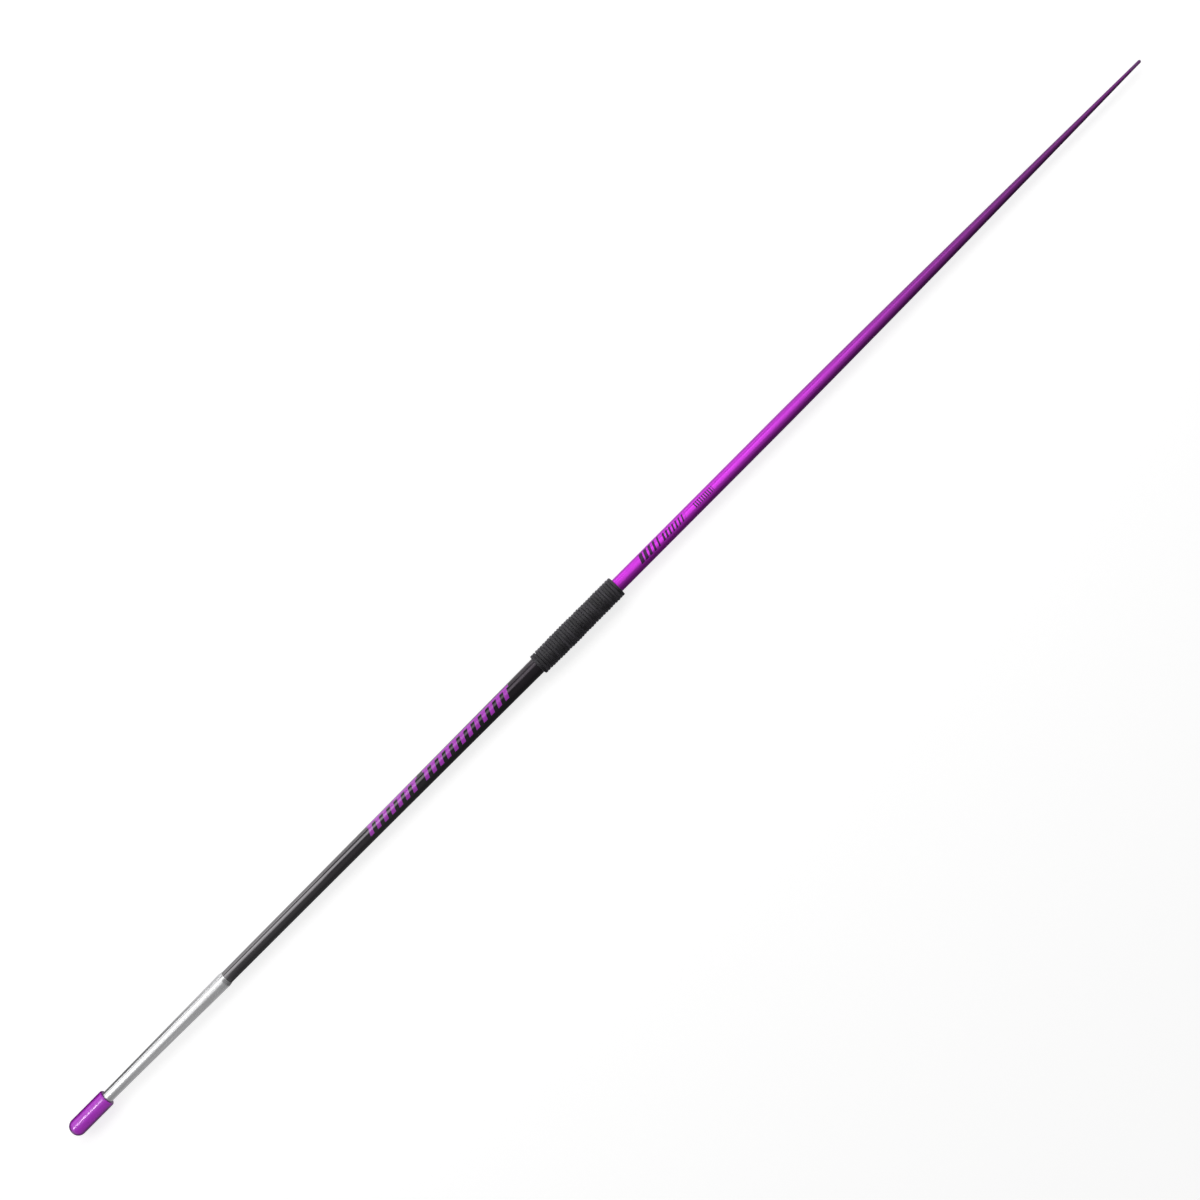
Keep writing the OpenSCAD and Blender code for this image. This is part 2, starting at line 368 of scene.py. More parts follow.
# The columns: name, first and last degrees, x where it starts and ends, brightness
small_cards = (
    ("streak_card", -29, -17, TIP_REAR, BEYOND, 22.0),
    ("head_white_card", -24, 12, HEAD_REAR, HEAD_FRONT, 1.8),
    ("front_parting_card", -74, -62, MID_SHAFT, HEAD_REAR, 0.04),
    ("front_white_card", -22, -10, MID_SHAFT, HEAD_REAR, 1.6),
    ("front_top_card", -10, 8, MID_SHAFT, HEAD_REAR, 0.3),
    ("parting_card", -80, -62, GRIP_FRONT, MID_SHAFT, 0.1),
    ("shaft_top_card", -18, 6, GRIP_FRONT, MID_SHAFT, 0.2),
    ("grip_dim_card", -42, 6, GRIP_REAR, GRIP_FRONT, 0.45),
    ("grip_side_card", -96, -60, GRIP_REAR, GRIP_FRONT, 2.8),
    ("rear_white_card", -24, 12, BRIGHT_REAR, GRIP_REAR, 2.6),
    ("tail_white_card", -24, 6, PALE_REAR, BRIGHT_REAR, 2.0),
)
for name, first, last, start, end, brightness in small_cards:
    glossy_card(name, bent_line(first, last, NEARER), start, end, brightness, brightness)

# %% [markdown]
# ## Turned pieces
#
# All pieces but the cord are turned: each is an outline spun round the javelin's axis. The CAD mesh
# already holds that outline. Cutting it with the upright plane through the axis, and keeping the
# half above the axis, leaves the outline as a chain of edges, which only has to be walked in order.
# Working from the CAD mesh keeps every size in one place. A point is (x, distance from the axis).

# %% Read an outline from a CAD mesh
ON_PLANE = 0.001 * MM
SAME_POINT = 0.06 * MM


def section_chain(node):
    """The points of a CAD node's half section in order, and whether they close into a loop"""
    cut = bmesh.new()
    cut.from_mesh(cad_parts[node].data)
    bmesh.ops.remove_doubles(cut, verts=cut.verts, dist=ON_PLANE)
    for normal, clear_outer in (((0, 1, 0), True), ((0, 0, 1), False)):
        everything = cut.verts[:] + cut.edges[:] + cut.faces[:]
        bmesh.ops.bisect_plane(
            cut, geom=everything, dist=ON_PLANE, plane_co=(0, 0, 0), plane_no=normal,
            clear_inner=True, clear_outer=clear_outer,
        )
    bmesh.ops.remove_doubles(cut, verts=cut.verts, dist=SAME_POINT)
    ends = [v for v in cut.verts if len(v.link_edges) == 1]
    here = max(ends or cut.verts, key=lambda v: (v.co.x, -v.co.z))
    chain, used = [here], set()
    while True:
        onward = [e for e in here.link_edges if e not in used]
        if not onward:
            break
        used.add(onward[0])
        here = onward[0].other_vert(here)
        chain.append(here)
    points = [Vector((v.co.x, max(v.co.z, 0.0))) for v in chain]
    cut.free()
    closed = not ends
    return (points[:-1] if closed else points), closed


def without_spare_points(points, closed):
    """Drops the points that lie on a straight line between their neighbours"""
    kept = list(points)
    i = 0
    while i < len(kept):
        at_end = not closed and i in (0, len(kept) - 1)
        if not at_end:
            before, here, after = kept[i - 1], kept[i], kept[(i + 1) % len(kept)]
            along = (after - before).normalized()
            off = (here - before) - along * (here - before).dot(along)
            if off.length < ON_PLANE:
                del kept[i]
                continue
        i += 1
    return kept


def outline_of(node):
    """A CAD node's outline, anticlockwise with x to the right, and whether it is a loop"""
    points, closed = section_chain(node)
    points = without_spare_points(points, closed)
    area = sum(a.cross(b) for a, b in zip(points, points[1:] + points[:1]))
    return (points if area > 0 else points[::-1]), closed


outline, closed = outline_of("head_tube")
print("head tube outline points:", len(outline), "loop" if closed else "ends on the axis")
print([(round(p.x / MM, 2), round(p.y / MM, 2)) for p in outline])

# %% [markdown]
# A CAD outline is made of straight sides. Two things make it look real. No edge of a real part is
# perfectly sharp, so each sharp corner becomes a small round, and that round is what catches the
# light. A gentle corner is only a stop on a curve, so the sides beside it are bent to meet there in
# one direction. A side much longer than its neighbour is meant to be straight and keeps its line.

# %% Round and curve an outline
CURVE_STEPS = 4
STRAIGHT = math.radians(0.05)
LONGER = 3
CORNER_SHARE = 0.4
HEAD_CREASE = 8
HEAD_ROUND = 0.3 * MM


def curve(start, leave, end, arrive):
    """Points from start up to but not including end, with the directions wanted at both"""
    side = end - start
    if max(leave.angle(side), arrive.angle(side)) < STRAIGHT:
        return [start]
    points = []
    for step in range(CURVE_STEPS):
        t = step / CURVE_STEPS
        point = start * (1 + 2 * t) * (1 - t) ** 2 + end * (3 - 2 * t) * t ** 2
        point += leave * side.length * t * (1 - t) ** 2
        point += arrive * side.length * (t - 1) * t ** 2
        points.append(point)
    return points


def direction_at(arriving, leaving):
    """The direction of a smooth outline at a point, from the two sides that meet there"""
    if arriving.length > LONGER * leaving.length:
        return arriving.normalized()
    if leaving.length > LONGER * arriving.length:
        return leaving.normalized()
    return (arriving.normalized() + leaving.normalized()).normalized()


def smooth_outline(points, closed, crease, edge):
    """Rounds corners sharper than crease degrees by about edge, and curves all the others"""
    stops = []
    for i, here in enumerate(points):
        if not closed and i in (0, len(points) - 1):
            upright = Vector((0, 1 if i == 0 else -1))
            stops.append((here, upright, here, upright))
            continue
        arriving = here - points[i - 1]
        leaving = points[(i + 1) % len(points)] - here
        if arriving.angle(leaving) < math.radians(crease):
            direction = direction_at(arriving, leaving)
            stops.append((here, direction, here, direction))
            continue
        cut = min(edge, CORNER_SHARE * arriving.length, CORNER_SHARE * leaving.length)
        arriving.normalize()
        leaving.normalize()
        stops.append((here - arriving * cut, arriving, here + leaving * cut, leaving))
    smooth = []
    for stop, following in zip(stops, stops[1:] + stops[:1]):
        entry, arrive, way_out, leave = stop
        if entry != way_out:
            smooth += curve(entry, arrive, way_out, leave)
        if closed or stop is not stops[-1]:
            smooth += curve(way_out, leave, following[0], following[1])
    return smooth if closed else smooth + [points[-1]]


smooth = smooth_outline(outline, closed, HEAD_CREASE, HEAD_ROUND)
print("head tube outline points after smoothing:", len(smooth))

# %% [markdown]
# Spinning the outline makes the surface. Smooth shading blends the directions of faces that meet,
# so a long straight face would look bent near a rounded edge. A ring close to each of its ends
# keeps that blend inside a fifth of a millimetre.

# %% Spin an outline into a closed surface
AROUND = 96
LONG_SIDE = 2 * MM
END_RING = 0.2 * MM
CREASE = 25
EDGE_ROUND = 0.25 * MM


def with_end_rings(outline, closed):
    """Adds a point close to each end of every long side"""
    ringed = []
    following = outline[1:] + outline[:1] if closed else outline[1:]
    for start, end in zip(outline, following):
        ringed.append(start)
        side = end - start
        if side.length > LONG_SIDE:
            ringed.append(start + side.normalized() * END_RING)
            ringed.append(end - side.normalized() * END_RING)
    return ringed if closed else ringed + [outline[-1]]


def close_skin(piece):
    """Points every face outwards and shades them smoothly"""
    skin = bmesh.new()
    skin.from_mesh(piece.data)
    bmesh.ops.recalc_face_normals(skin, faces=skin.faces)
    skin.to_mesh(piece.data)
    skin.free()
    piece.data.shade_smooth()


def lathe(name, outline, closed):
    """An outline spun round the X axis; a point on the axis becomes a single vertex"""
    vertices, faces, rings = [], [], []
    for point in outline:
        spots = AROUND if point.y > ON_PLANE else 1
        rings.append([len(vertices) + k for k in range(spots)])
        for k in range(spots):
            angle = 2 * math.pi * k / AROUND
            vertices.append((point.x, point.y * math.sin(angle), point.y * math.cos(angle)))
    for ring, onward in zip(rings, rings[1:] + (rings[:1] if closed else [])):
        for k in range(AROUND):
            near, far = k % len(ring), (k + 1) % len(ring)
            next_near, next_far = k % len(onward), (k + 1) % len(onward)
            corners = (ring[near], ring[far], onward[next_far], onward[next_near])
            faces.append(tuple(dict.fromkeys(corners)))
    piece = new_object(name, vertices, faces)
    close_skin(piece)
    return piece


def place_piece(piece, node, body, finish):
    """Gives a piece its finish and lets it stand in for a CAD node, on the node's moving body"""
    piece.data.materials.append(finish)
    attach(piece, body)
    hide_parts(node)


def turned_piece(name, node, body, finish, crease=CREASE, edge=EDGE_ROUND):
    """Spins a CAD node's own outline, smoothed, and puts the result in the node's place"""
    outline, closed = outline_of(node)
    smooth = with_end_rings(smooth_outline(outline, closed, crease, edge), closed)
    piece = lathe(name, smooth, closed)
    place_piece(piece, node, body, finish)
    print(name, "faces:", len(piece.data.polygons))


print("faces round a ring:", AROUND)

# %% [markdown]
# ## Surface effects that several finishes share
#
# Each effect is a small node tree of its own, a group, which a finish can use like any other node.
# The first one tells a finish where on the javelin it is: how many millimetres behind the nose, how
# far round from the top, and how far from the axis.

# %% A group for the place on the javelin
def new_group(name, inputs, outputs):
    """An empty group with number inputs and outputs, its tree and its two end nodes"""
    group = bpy.data.node_groups.new(name, "ShaderNodeTree")
    for label, value in inputs.items():
        socket = group.interface.new_socket(label, in_out="INPUT", socket_type="NodeSocketFloat")
        socket.default_value = value
    for label in outputs:
        group.interface.new_socket(label, in_out="OUTPUT", socket_type="NodeSocketFloat")
    tree = Tree(group)
    return group, tree, tree.add("NodeGroupInput").outputs, tree.add("NodeGroupOutput").inputs


place, tree, given, result = new_group("place_on_javelin", {}, ["Station", "Angle", "Radius"])
spot = tree.add("ShaderNodeTexCoord").outputs["Object"]
x, y, z = tree.add("ShaderNodeSeparateXYZ", {0: spot}).outputs
behind = tree.math("SUBTRACT", cad_high.x, x)
squares = tree.math("ADD", tree.math("MULTIPLY", y, y), tree.math("MULTIPLY", z, z))
tree.feed(result["Station"], tree.math("DIVIDE", behind, MM))
tree.feed(result["Angle"], tree.math("ARCTAN2", y, z))
tree.feed(result["Radius"], tree.math("DIVIDE", tree.math("SQRT", squares), MM))
print("group:", place.name)

# %% [markdown]
# Tubes are drawn through a ring, which leaves fine lines along them. Stretching a noise pattern
# along X gives such lines: its features are hundreds of millimetres long and a few wide, and each
# finer layer of detail is half as long and wide as the one before.

# %% A group for drawn lines
LINES_ALONG = 2.0

drawn, tree, given, result = new_group("drawn_lines", {"Across": 350.0}, ["Lines"])
spot = tree.add("ShaderNodeTexCoord").outputs["Object"]
x, y, z = tree.add("ShaderNodeSeparateXYZ", {0: spot}).outputs
stretched = tree.add("ShaderNodeCombineXYZ", {
    0: tree.math("MULTIPLY", x, LINES_ALONG),
    1: tree.math("MULTIPLY", y, given["Across"]),
    2: tree.math("MULTIPLY", z, given["Across"]),
}).outputs[0]
lines = tree.noise(stretched, 1.0, detail=5.0, roughness=0.62)
tree.feed(result["Lines"], tree.ramp(lines, 0.3, 0.7))
print("group:", drawn.name)

# %% [markdown]
# A handled surface is never evenly glossy. Hands leave a broad haze, and dust settles in specks.
# The haze mostly changes how rough the surface is, and the specks make it a little paler.

# %% A group for haze and dust
DUST_SCALE = 1800.0

used, tree, given, result = new_group("haze_and_dust", {"Spread": 45.0}, ["Haze", "Dust"])
spot = tree.add("ShaderNodeTexCoord").outputs["Object"]
broad = tree.noise(spot, given["Spread"], detail=4.0, roughness=0.6)
fine = tree.noise(spot, DUST_SCALE, detail=1.0)
tree.feed(result["Haze"], tree.ramp(broad, 0.38, 0.68))
tree.feed(result["Dust"], tree.ramp(fine, 0.72, 0.8))
print("group:", used.name)

# %% [markdown]
# Where one tube ends against another, the coating is rubbed by handling and by the rubber tip as it
# goes on and off. The mask is strongest at the given station and fades within its reach. Noise
# moves its border in and out, since wear has no straight edge.

# %% A group for wear beside an edge
RAGGED_SCALE = 600.0

worn, tree, given, result = new_group("edge_wear", {"Edge": 0.0, "Reach": 2.0}, ["Mask"])
here = tree.group(place, {})
spot = tree.add("ShaderNodeTexCoord").outputs["Object"]
away = tree.math("ABSOLUTE", tree.math("SUBTRACT", here["Station"], given["Edge"]))
ragged = tree.noise(spot, RAGGED_SCALE, detail=4.0, roughness=0.65)
border = tree.math("ADD", away, tree.math("MULTIPLY", ragged, given["Reach"]))
share = tree.math("DIVIDE", border, given["Reach"])
tree.feed(result["Mask"], tree.ramp(share, 0.4, 1.0, low=1.0, high=0.0))
print("group:", worn.name)

# %% [markdown]
# Landing on grass and grit leaves hairlines. A noise pattern crosses its middle value along thin
# winding lines, and stretching it makes those lines nearly straight. A second, broader noise keeps
# only some of them.

# %% A group for hairline scratches
ALONG_SCALE = 0.035
ACROSS_SCALE = 0.32
HAIRLINE = (0.002, 0.008)

scratched, tree, given, result = new_group("hairlines", {"Lean": 0.6}, ["Mask"])
here = tree.group(place, {})
arc = tree.math("MULTIPLY", here["Angle"], here["Radius"])
lean = tree.math("ADD", arc, tree.math("MULTIPLY", here["Station"], given["Lean"]))
flat = tree.add("ShaderNodeCombineXYZ", {
    0: tree.math("MULTIPLY", here["Station"], ALONG_SCALE),
    1: tree.math("MULTIPLY", lean, ACROSS_SCALE),
}).outputs[0]
crossing = tree.math("ABSOLUTE", tree.math("SUBTRACT", tree.noise(flat, 1.0, detail=0.0), 0.5))
line = tree.ramp(crossing, *HAIRLINE, low=1.0, high=0.0)
kept = tree.ramp(tree.noise(flat, 2.3, detail=1.0), 0.56, 0.64)
tree.feed(result["Mask"], tree.math("MULTIPLY", line, kept))
print("group:", scratched.name)

# %% [markdown]
# The shafts carry printed marks. The real lettering is left off, and plain slanted bars take its
# place. They repeat once in each period, and the part of a period that a bar fills changes from the
# first bar to the last, so a row can swell or thin out. The print covers a band near the top. A row
# with one long period and a full first bar is a plain line.

# %% A group for printed bars
SOFT = 0.12

bar_inputs = {
    "Start": 0.0, "End": 100.0, "Period": 10.0, "First Fill": 0.5, "Last Fill": 0.5,
    "Height": 10.0, "Middle": 0.0, "Slant": 0.3,
}
printed, tree, given, result = new_group("printed_bars", bar_inputs, ["Mask"])
here = tree.group(place, {})
arc = tree.math("MULTIPLY", here["Angle"], here["Radius"])
from_middle = tree.math("SUBTRACT", arc, given["Middle"])
slanted = tree.math("MULTIPLY", from_middle, given["Slant"])
along = tree.math("ADD", tree.math("SUBTRACT", here["Station"], given["Start"]), slanted)
row = tree.math("SUBTRACT", given["End"], given["Start"])
share = tree.math("DIVIDE", along, row)
gained = tree.math("SUBTRACT", given["Last Fill"], given["First Fill"])
fill = tree.math("ADD", given["First Fill"], tree.math("MULTIPLY", gained, share))
phase = tree.math("FRACT", tree.math("DIVIDE", along, given["Period"]))
gap = tree.math("MULTIPLY", tree.math("SUBTRACT", phase, fill), given["Period"])
bar = tree.ramp(gap, -SOFT, SOFT, 1.0, 0.0)
begun = tree.ramp(along, 0.0, SOFT)
over = tree.ramp(tree.math("SUBTRACT", along, row), -SOFT, 0.0, 1.0, 0.0)
off_middle = tree.math("ABSOLUTE", from_middle)
half_height = tree.math("MULTIPLY", given["Height"], 0.5)
edge = tree.math("SUBTRACT", off_middle, half_height)
band = tree.ramp(edge, -SOFT, SOFT, 1.0, 0.0)
in_row = tree.math("MULTIPLY", begun, over)
in_band = tree.math("MULTIPLY", bar, band)
tree.feed(result["Mask"], tree.math("MULTIPLY", in_row, in_band))


def print_of(tree, rows):
    """The mask of several rows of bars; a row gives the group's inputs in their order"""
    mask = 0.0
    for row in rows:
        bars = tree.group(printed, dict(zip(bar_inputs, row)))["Mask"]
        mask = tree.math("MAXIMUM", mask, bars)
    return mask


print("group:", printed.name, "inputs:", len(bar_inputs))

# %% [markdown]
# ## Finishes
#
# Every finish is one principled shader with a few of its sockets fed by the groups. The helper
# makes the material and sets the numbers that stay the same all over.

# %% Start a finish
def new_finish(name, **numbers):
    """A material with one principled shader, which is returned with its tree"""
    finish = bpy.data.materials.new(name)
    finish.use_nodes = True
    finish.node_tree.nodes.clear()
    tree = Tree(finish.node_tree)
    feeds = {label.replace("_", " "): value for label, value in numbers.items()}
    shader = tree.add("ShaderNodeBsdfPrincipled", feeds)
    tree.add("ShaderNodeOutputMaterial", {"Surface": shader.outputs[0]})
    return finish, tree, shader.inputs


def colour(red, green, blue):
    return (red, green, blue, 1.0)


print("a finish starts from one principled shader")

# %% [markdown]
# The tip is moulded rubber, dyed right through. Its skin is smooth and a little waxy, so it has one
# narrow highlight, slightly uneven from the mould. Toward its outline, where it turns away from the
# view, the colour is darkened: a painted shade. The nose takes the knocks, so it is scuffed paler
# and rougher.

# %% Purple tip rubber
TIP_PURPLE = colour(0.51, 0.026, 0.66)
TIP_EDGE_SHADE = colour(0.15, 0.008, 0.19)
TIP_SCUFFED = colour(0.54, 0.10, 0.66)
TIP_SKIN_SCALE = 900.0

tip_rubber, tree, shader = new_finish("tip_rubber", Specular_IOR_Level=0.5)
marks = tree.group(used, {"Spread": 70.0})
nose = tree.group(worn, {"Edge": 0.0, "Reach": 5.0})["Mask"]
spot = tree.add("ShaderNodeTexCoord").outputs["Object"]
skin = tree.noise(spot, TIP_SKIN_SCALE, detail=3.0)
paler = tree.math("MULTIPLY", tree.math("MAXIMUM", nose, marks["Dust"]), 0.5)
# Painted shade: the purple darkens where the surface turns away from the view, along its outline.
turned_away = tree.add("ShaderNodeLayerWeight", {"Blend": 0.5}).outputs["Facing"]
dyed_and_edge_shaded = tree.mix(tree.ramp(turned_away, 0.25, 0.65), TIP_PURPLE, TIP_EDGE_SHADE)
tree.feed(shader["Base Color"], tree.mix(paler, dyed_and_edge_shaded, TIP_SCUFFED))
rough = tree.ramp(marks["Haze"], 0.0, 1.0, low=0.17, high=0.24)
tree.feed(shader["Roughness"], tree.math("ADD", rough, tree.math("MULTIPLY", nose, 0.12)))
tree.feed(shader["Normal"], tree.bump(skin, 0.012 * MM, strength=0.4))
print("finish:", tip_rubber.name)

# %% [markdown]
# The cap could be a cylinder with bevelled edges, but its outline is already in the CAD solid, so it
# is spun from there. A mould leaves its edges a little rounder than a cutter would.

# %% Turn the blunt tip
TIP_ROUND = 0.3 * MM

turned_piece("blunt_tip", "rubber_tip", "tip_cap", tip_rubber, edge=TIP_ROUND)

# %% [markdown]
# The point and the head are aluminium. The head is polished, but the drawn lines still show in it,
# and they are what turns a mirror into soft metal. A fine blasted skin scatters a little light, so
# the finish is not wholly metallic.

# %% Polished head metal
HEAD_DARK_LINE = colour(0.52, 0.52, 0.53)
HEAD_LIGHT_LINE = colour(0.59, 0.59, 0.60)
HEAD_BACK = 318.3

head_metal, tree, shader = new_finish("head_metal", Metallic=0.76)
lines = tree.group(drawn, {"Across": 420.0})["Lines"]
marks = tree.group(used, {"Spread": 35.0})
scratch = tree.group(scratched, {"Lean": 0.9})["Mask"]
rim = tree.group(worn, {"Edge": HEAD_BACK, "Reach": 1.6})["Mask"]
tree.feed(shader["Base Color"], tree.mix(lines, HEAD_DARK_LINE, HEAD_LIGHT_LINE))
rough = tree.ramp(marks["Haze"], 0.0, 1.0, low=0.22, high=0.29)
rough = tree.math("ADD", rough, tree.math("MULTIPLY", tree.math("MAXIMUM", scratch, rim), 0.15))
tree.feed(shader["Roughness"], rough)
relief = tree.math("SUBTRACT", tree.math("MULTIPLY", lines, 0.6), scratch)
tree.feed(shader["Normal"], tree.bump(relief, 0.004 * MM, strength=0.4))
print("finish:", head_metal.name)

# %% [markdown]
# The head swells in a shallow curve. Its outline has gentle corners, which belong to the curve, and
# sharper ones at the bevel. The angle that parts the two is lower here than on the other pieces.

# %% Turn the head
turned_piece(
    "head_body", "head_tube", "javelin", head_metal, HEAD_CREASE, HEAD_ROUND,
)

# %% [markdown]
# The point under the tip was turned on a lathe, which leaves fine rings. So its noise changes only
# with the distance from the axis.

# %% Finish and turn the point
POINT_DARK = colour(0.50, 0.50, 0.51)
POINT_LIGHT = colour(0.66, 0.66, 0.67)

point_metal, tree, shader = new_finish("point_metal", Metallic=1.0)
here = tree.group(place, {})
turning = tree.noise(here["Radius"], 9.0)
tree.feed(shader["Base Color"], tree.mix(turning, POINT_DARK, POINT_LIGHT))
tree.feed(shader["Roughness"], tree.ramp(turning, 0.3, 0.7, low=0.28, high=0.42))
tree.feed(shader["Normal"], tree.bump(turning, 0.02 * MM, strength=0.6))
turned_piece("metal_point", "point_plug", "javelin", point_metal)

# %% [markdown]
# Anodising grows a thin glassy layer on aluminium, and dye in that layer gives the colour. The
# black tube is a dark base below a clear coat. Its highlight is slightly mauve, as black dye on
# metal often is. Toward the grip, hands have worn the gloss off the coat, so the coat fades there.
#
# The print is a purple ink, duller than the tube. It stands in two groups, each with a thin line
# along its lit edge.

# %% Black anodised tube
BLACK = colour(0.008, 0.0075, 0.009)
BLACK_RUBBED = colour(0.05, 0.046, 0.054)
PURPLE_INK = colour(0.42, 0.035, 0.52)
MAUVE = colour(1.0, 0.86, 1.0)
GLOSS_ENDS = (380.0, 900.0)
PRINT_GROUPS = ((617.0, 720.0), (731.0, 908.0))

# The columns after start and end: period, first and last fill, height, middle, slant
BLACK_TUBE_BARS = (14.8, 0.5, 0.5, 18.0, -5.0, 0.45)
BLACK_TUBE_LINE = (1000.0, 1.0, 1.0, 4.0, -12.0, 0.45)

black_anodised, tree, shader = new_finish(
    "black_anodised", Specular_IOR_Level=0.48, Specular_Tint=MAUVE,
    Coat_IOR=1.9, Coat_Roughness=0.07,
)
marks = tree.group(used, {"Spread": 28.0})
scratch = tree.group(scratched, {"Lean": 0.5})["Mask"]
front = tree.group(worn, {"Edge": HEAD_BACK, "Reach": 1.5})["Mask"]
shapes = (BLACK_TUBE_BARS, BLACK_TUBE_LINE)
print_mask = print_of(tree, [ends + shape for ends in PRINT_GROUPS for shape in shapes])
station = tree.group(place, {})["Station"]
tree.feed(shader["Coat Weight"], tree.ramp(station, *GLOSS_ENDS, low=1.0, high=0.0))
bare = tree.math("MULTIPLY", tree.math("MAXIMUM", front, scratch), 0.5)
tube = tree.mix(bare, BLACK, BLACK_RUBBED)
tree.feed(shader["Base Color"], tree.mix(print_mask, tube, PURPLE_INK))
rough = tree.ramp(marks["Haze"], 0.0, 1.0, low=0.12, high=0.19)
rough = tree.math("ADD", rough, tree.math("MULTIPLY", marks["Dust"], 0.2))
rough = tree.math("ADD", rough, tree.math("MULTIPLY", print_mask, 0.1))
tree.feed(shader["Roughness"], rough)
lines = tree.group(drawn, {"Across": 350.0})["Lines"]
tree.feed(shader["Normal"], tree.bump(lines, 0.006 * MM, strength=0.35))
print("finish:", black_anodised.name)

# %% [markdown]
# The front shaft swells from the head to the grip. It is spun like the head, since a smooth curve
# matters most here: the long reflections in black gloss would show any flat.

# %% Turn the front shaft
turned_piece("black_shaft", "front_shaft", "javelin", black_anodised)

# %% [markdown]
# On the purple tube the dyed layer lets the bright metal through, so the colour is the metal's own
# reflection, tinted. It is a metal with a purple base colour, and partly a plain colour, because
# the layer also scatters some light. Toward the thin end the colour is darkened, a painted shade
# where less light falls. Its marks are printed in black.

# %% Purple anodised tube
PURPLE = colour(0.43, 0.026, 0.50)
PURPLE_LINE = colour(0.36, 0.020, 0.42)
# The tail colour and its stations paint shade: the tube is darker toward the tail.
PURPLE_TAIL_SHADE = colour(0.105, 0.015, 0.12)
TAIL_SHADE_FADE = (1150.0, 2050.0)
BLACK_INK = colour(0.03, 0.006, 0.038)

# The columns: start, end, period, first and last fill, height, middle, slant
purple_rows = (
    (1172.0, 1213.0, 9.0, 0.8, 0.3, 15.0, -3.5, 0.4),
    (1218.0, 1264.0, 6.5, 0.6, 0.35, 11.0, -2.5, 0.4),
    (1283.0, 1320.0, 4.0, 0.5, 0.5, 9.0, -2.5, 0.0),
)
purple_anodised, tree, shader = new_finish("purple_anodised")
marks = tree.group(used, {"Spread": 22.0})
scratch = tree.group(scratched, {"Lean": -0.7})["Mask"]
lines = tree.group(drawn, {"Across": 350.0})["Lines"]
print_mask = print_of(tree, purple_rows)
tube = tree.mix(tree.math("MULTIPLY", lines, 0.8), PURPLE, PURPLE_LINE)
station = tree.group(place, {})["Station"]
# Painted shade: the purple darkens toward the tail.
tube = tree.mix(tree.ramp(station, *TAIL_SHADE_FADE), tube, PURPLE_TAIL_SHADE)
tree.feed(shader["Base Color"], tree.mix(print_mask, tube, BLACK_INK))
tree.feed(shader["Metallic"], tree.ramp(print_mask, 0.0, 1.0, low=0.8, high=0.6))
rough = tree.ramp(marks["Haze"], 0.0, 1.0, low=0.25, high=0.34)
marked = tree.math("MAXIMUM", scratch, print_mask)
rough = tree.math("ADD", rough, tree.math("MULTIPLY", marked, 0.1))
tree.feed(shader["Roughness"], rough)
tree.feed(shader["Normal"], tree.bump(lines, 0.008 * MM, strength=0.4))
print("finish:", purple_anodised.name, "rows of print:", len(purple_rows))

# %% [markdown]
# The rear shaft is straight behind the grip and then tapers to the tail. Both are in its outline.

# %% Turn the rear shaft
turned_piece("purple_shaft", "rear_shaft", "javelin", purple_anodised)

# %% [markdown]
# The tail is closed by a small moulded plug. It is greyer and duller than the tube, and its rounded
# end is scuffed from being stood on.

# %% Tail plug
TAIL_STATION = 2200.0
PLUG_DARK = colour(0.115, 0.02, 0.14)
PLUG_LIGHT = colour(0.14, 0.03, 0.165)
PLUG_SCUFFED = colour(0.22, 0.10, 0.25)

plug_plastic, tree, shader = new_finish("plug_plastic", Specular_IOR_Level=0.35)
marks = tree.group(used, {"Spread": 120.0})
scuff = tree.group(worn, {"Edge": TAIL_STATION, "Reach": 3.0})["Mask"]
dull = tree.mix(marks["Haze"], PLUG_DARK, PLUG_LIGHT)
tree.feed(shader["Base Color"], tree.mix(scuff, dull, PLUG_SCUFFED))
tree.feed(shader["Roughness"], tree.ramp(scuff, 0.0, 1.0, low=0.42, high=0.6))
turned_piece("tail_end", "tail_plug", "javelin", plug_plastic)

# %% [markdown]
# ## The wound grip
#
# The CAD solid shows the cord as flat bands with gaps, which is enough for its size and weight. The
# real grip is about 33 turns of waxed braided cord, pulled tight so that each turn is pressed
# against the last. The cord is one long tube, so it is built by carrying its section along a helix.
#
# A hand winds it, so no two turns are quite alike. Sums of slow waves move each turn a little
# along, in and out. The waves are plain sines, so the result is the same on every run. Each turn
# lies nearly square to the javelin on top and steps on to the next one mostly underneath. The first
# and last turns lie against the grip's ends, and the cord's two ends are tucked in below them.

# %% Shape the winding
GRIP_HALF = 81.5 * MM
BASE_RADIUS = 13.9 * MM
TURNS = 33
PITCH = 2 * GRIP_HALF / TURNS
CORD_HALF_WIDTH = 0.492 * PITCH
CORD_HALF_THICK = 1.55 * MM
STEP_SHARE = 0.8
TUCK = 0.3
TUCK_DEPTH = 0.5 * MM
CORD_LIFT = 0.2 * MM
FIRST_GROUP = 2
GROUP_GAP = 0.35 * MM
GROUP_DROP = 0.3 * MM
LAST_DROP = 0.22 * MM
SWELL = 0.45 * MM
SWELL_MIDDLE = 20 * MM
SWELL_REACH = 26 * MM

# The waves' parts: size, turns per wave, start
WAVES_ALONG = (0.11 * MM, 1.37, 0.3), (0.09 * MM, 4.9, 1.1), (0.06 * MM, 0.61, 2.0)
WAVES_THICK = (0.012, 1.13, 0.9), (0.01, 2.7, 2.2)
WAVES_OUT = (0.1 * MM, 1.61, 0.0), (0.12 * MM, 3.7, 0.4), (0.1 * MM, 6.3, 0.7)


def wave(turns, parts):
    """A slow irregular wave along the winding"""
    angles = [2 * math.pi * turns / length + start for size, length, start in parts]
    return sum(part[0] * math.sin(angle) for part, angle in zip(parts, angles))


def smooth_step(value, start, end):
    """0 up to start, 1 from end on, and a smooth rise between them"""
    t = min(max((value - start) / (end - start), 0.0), 1.0)
    return t * t * (3 - 2 * t)


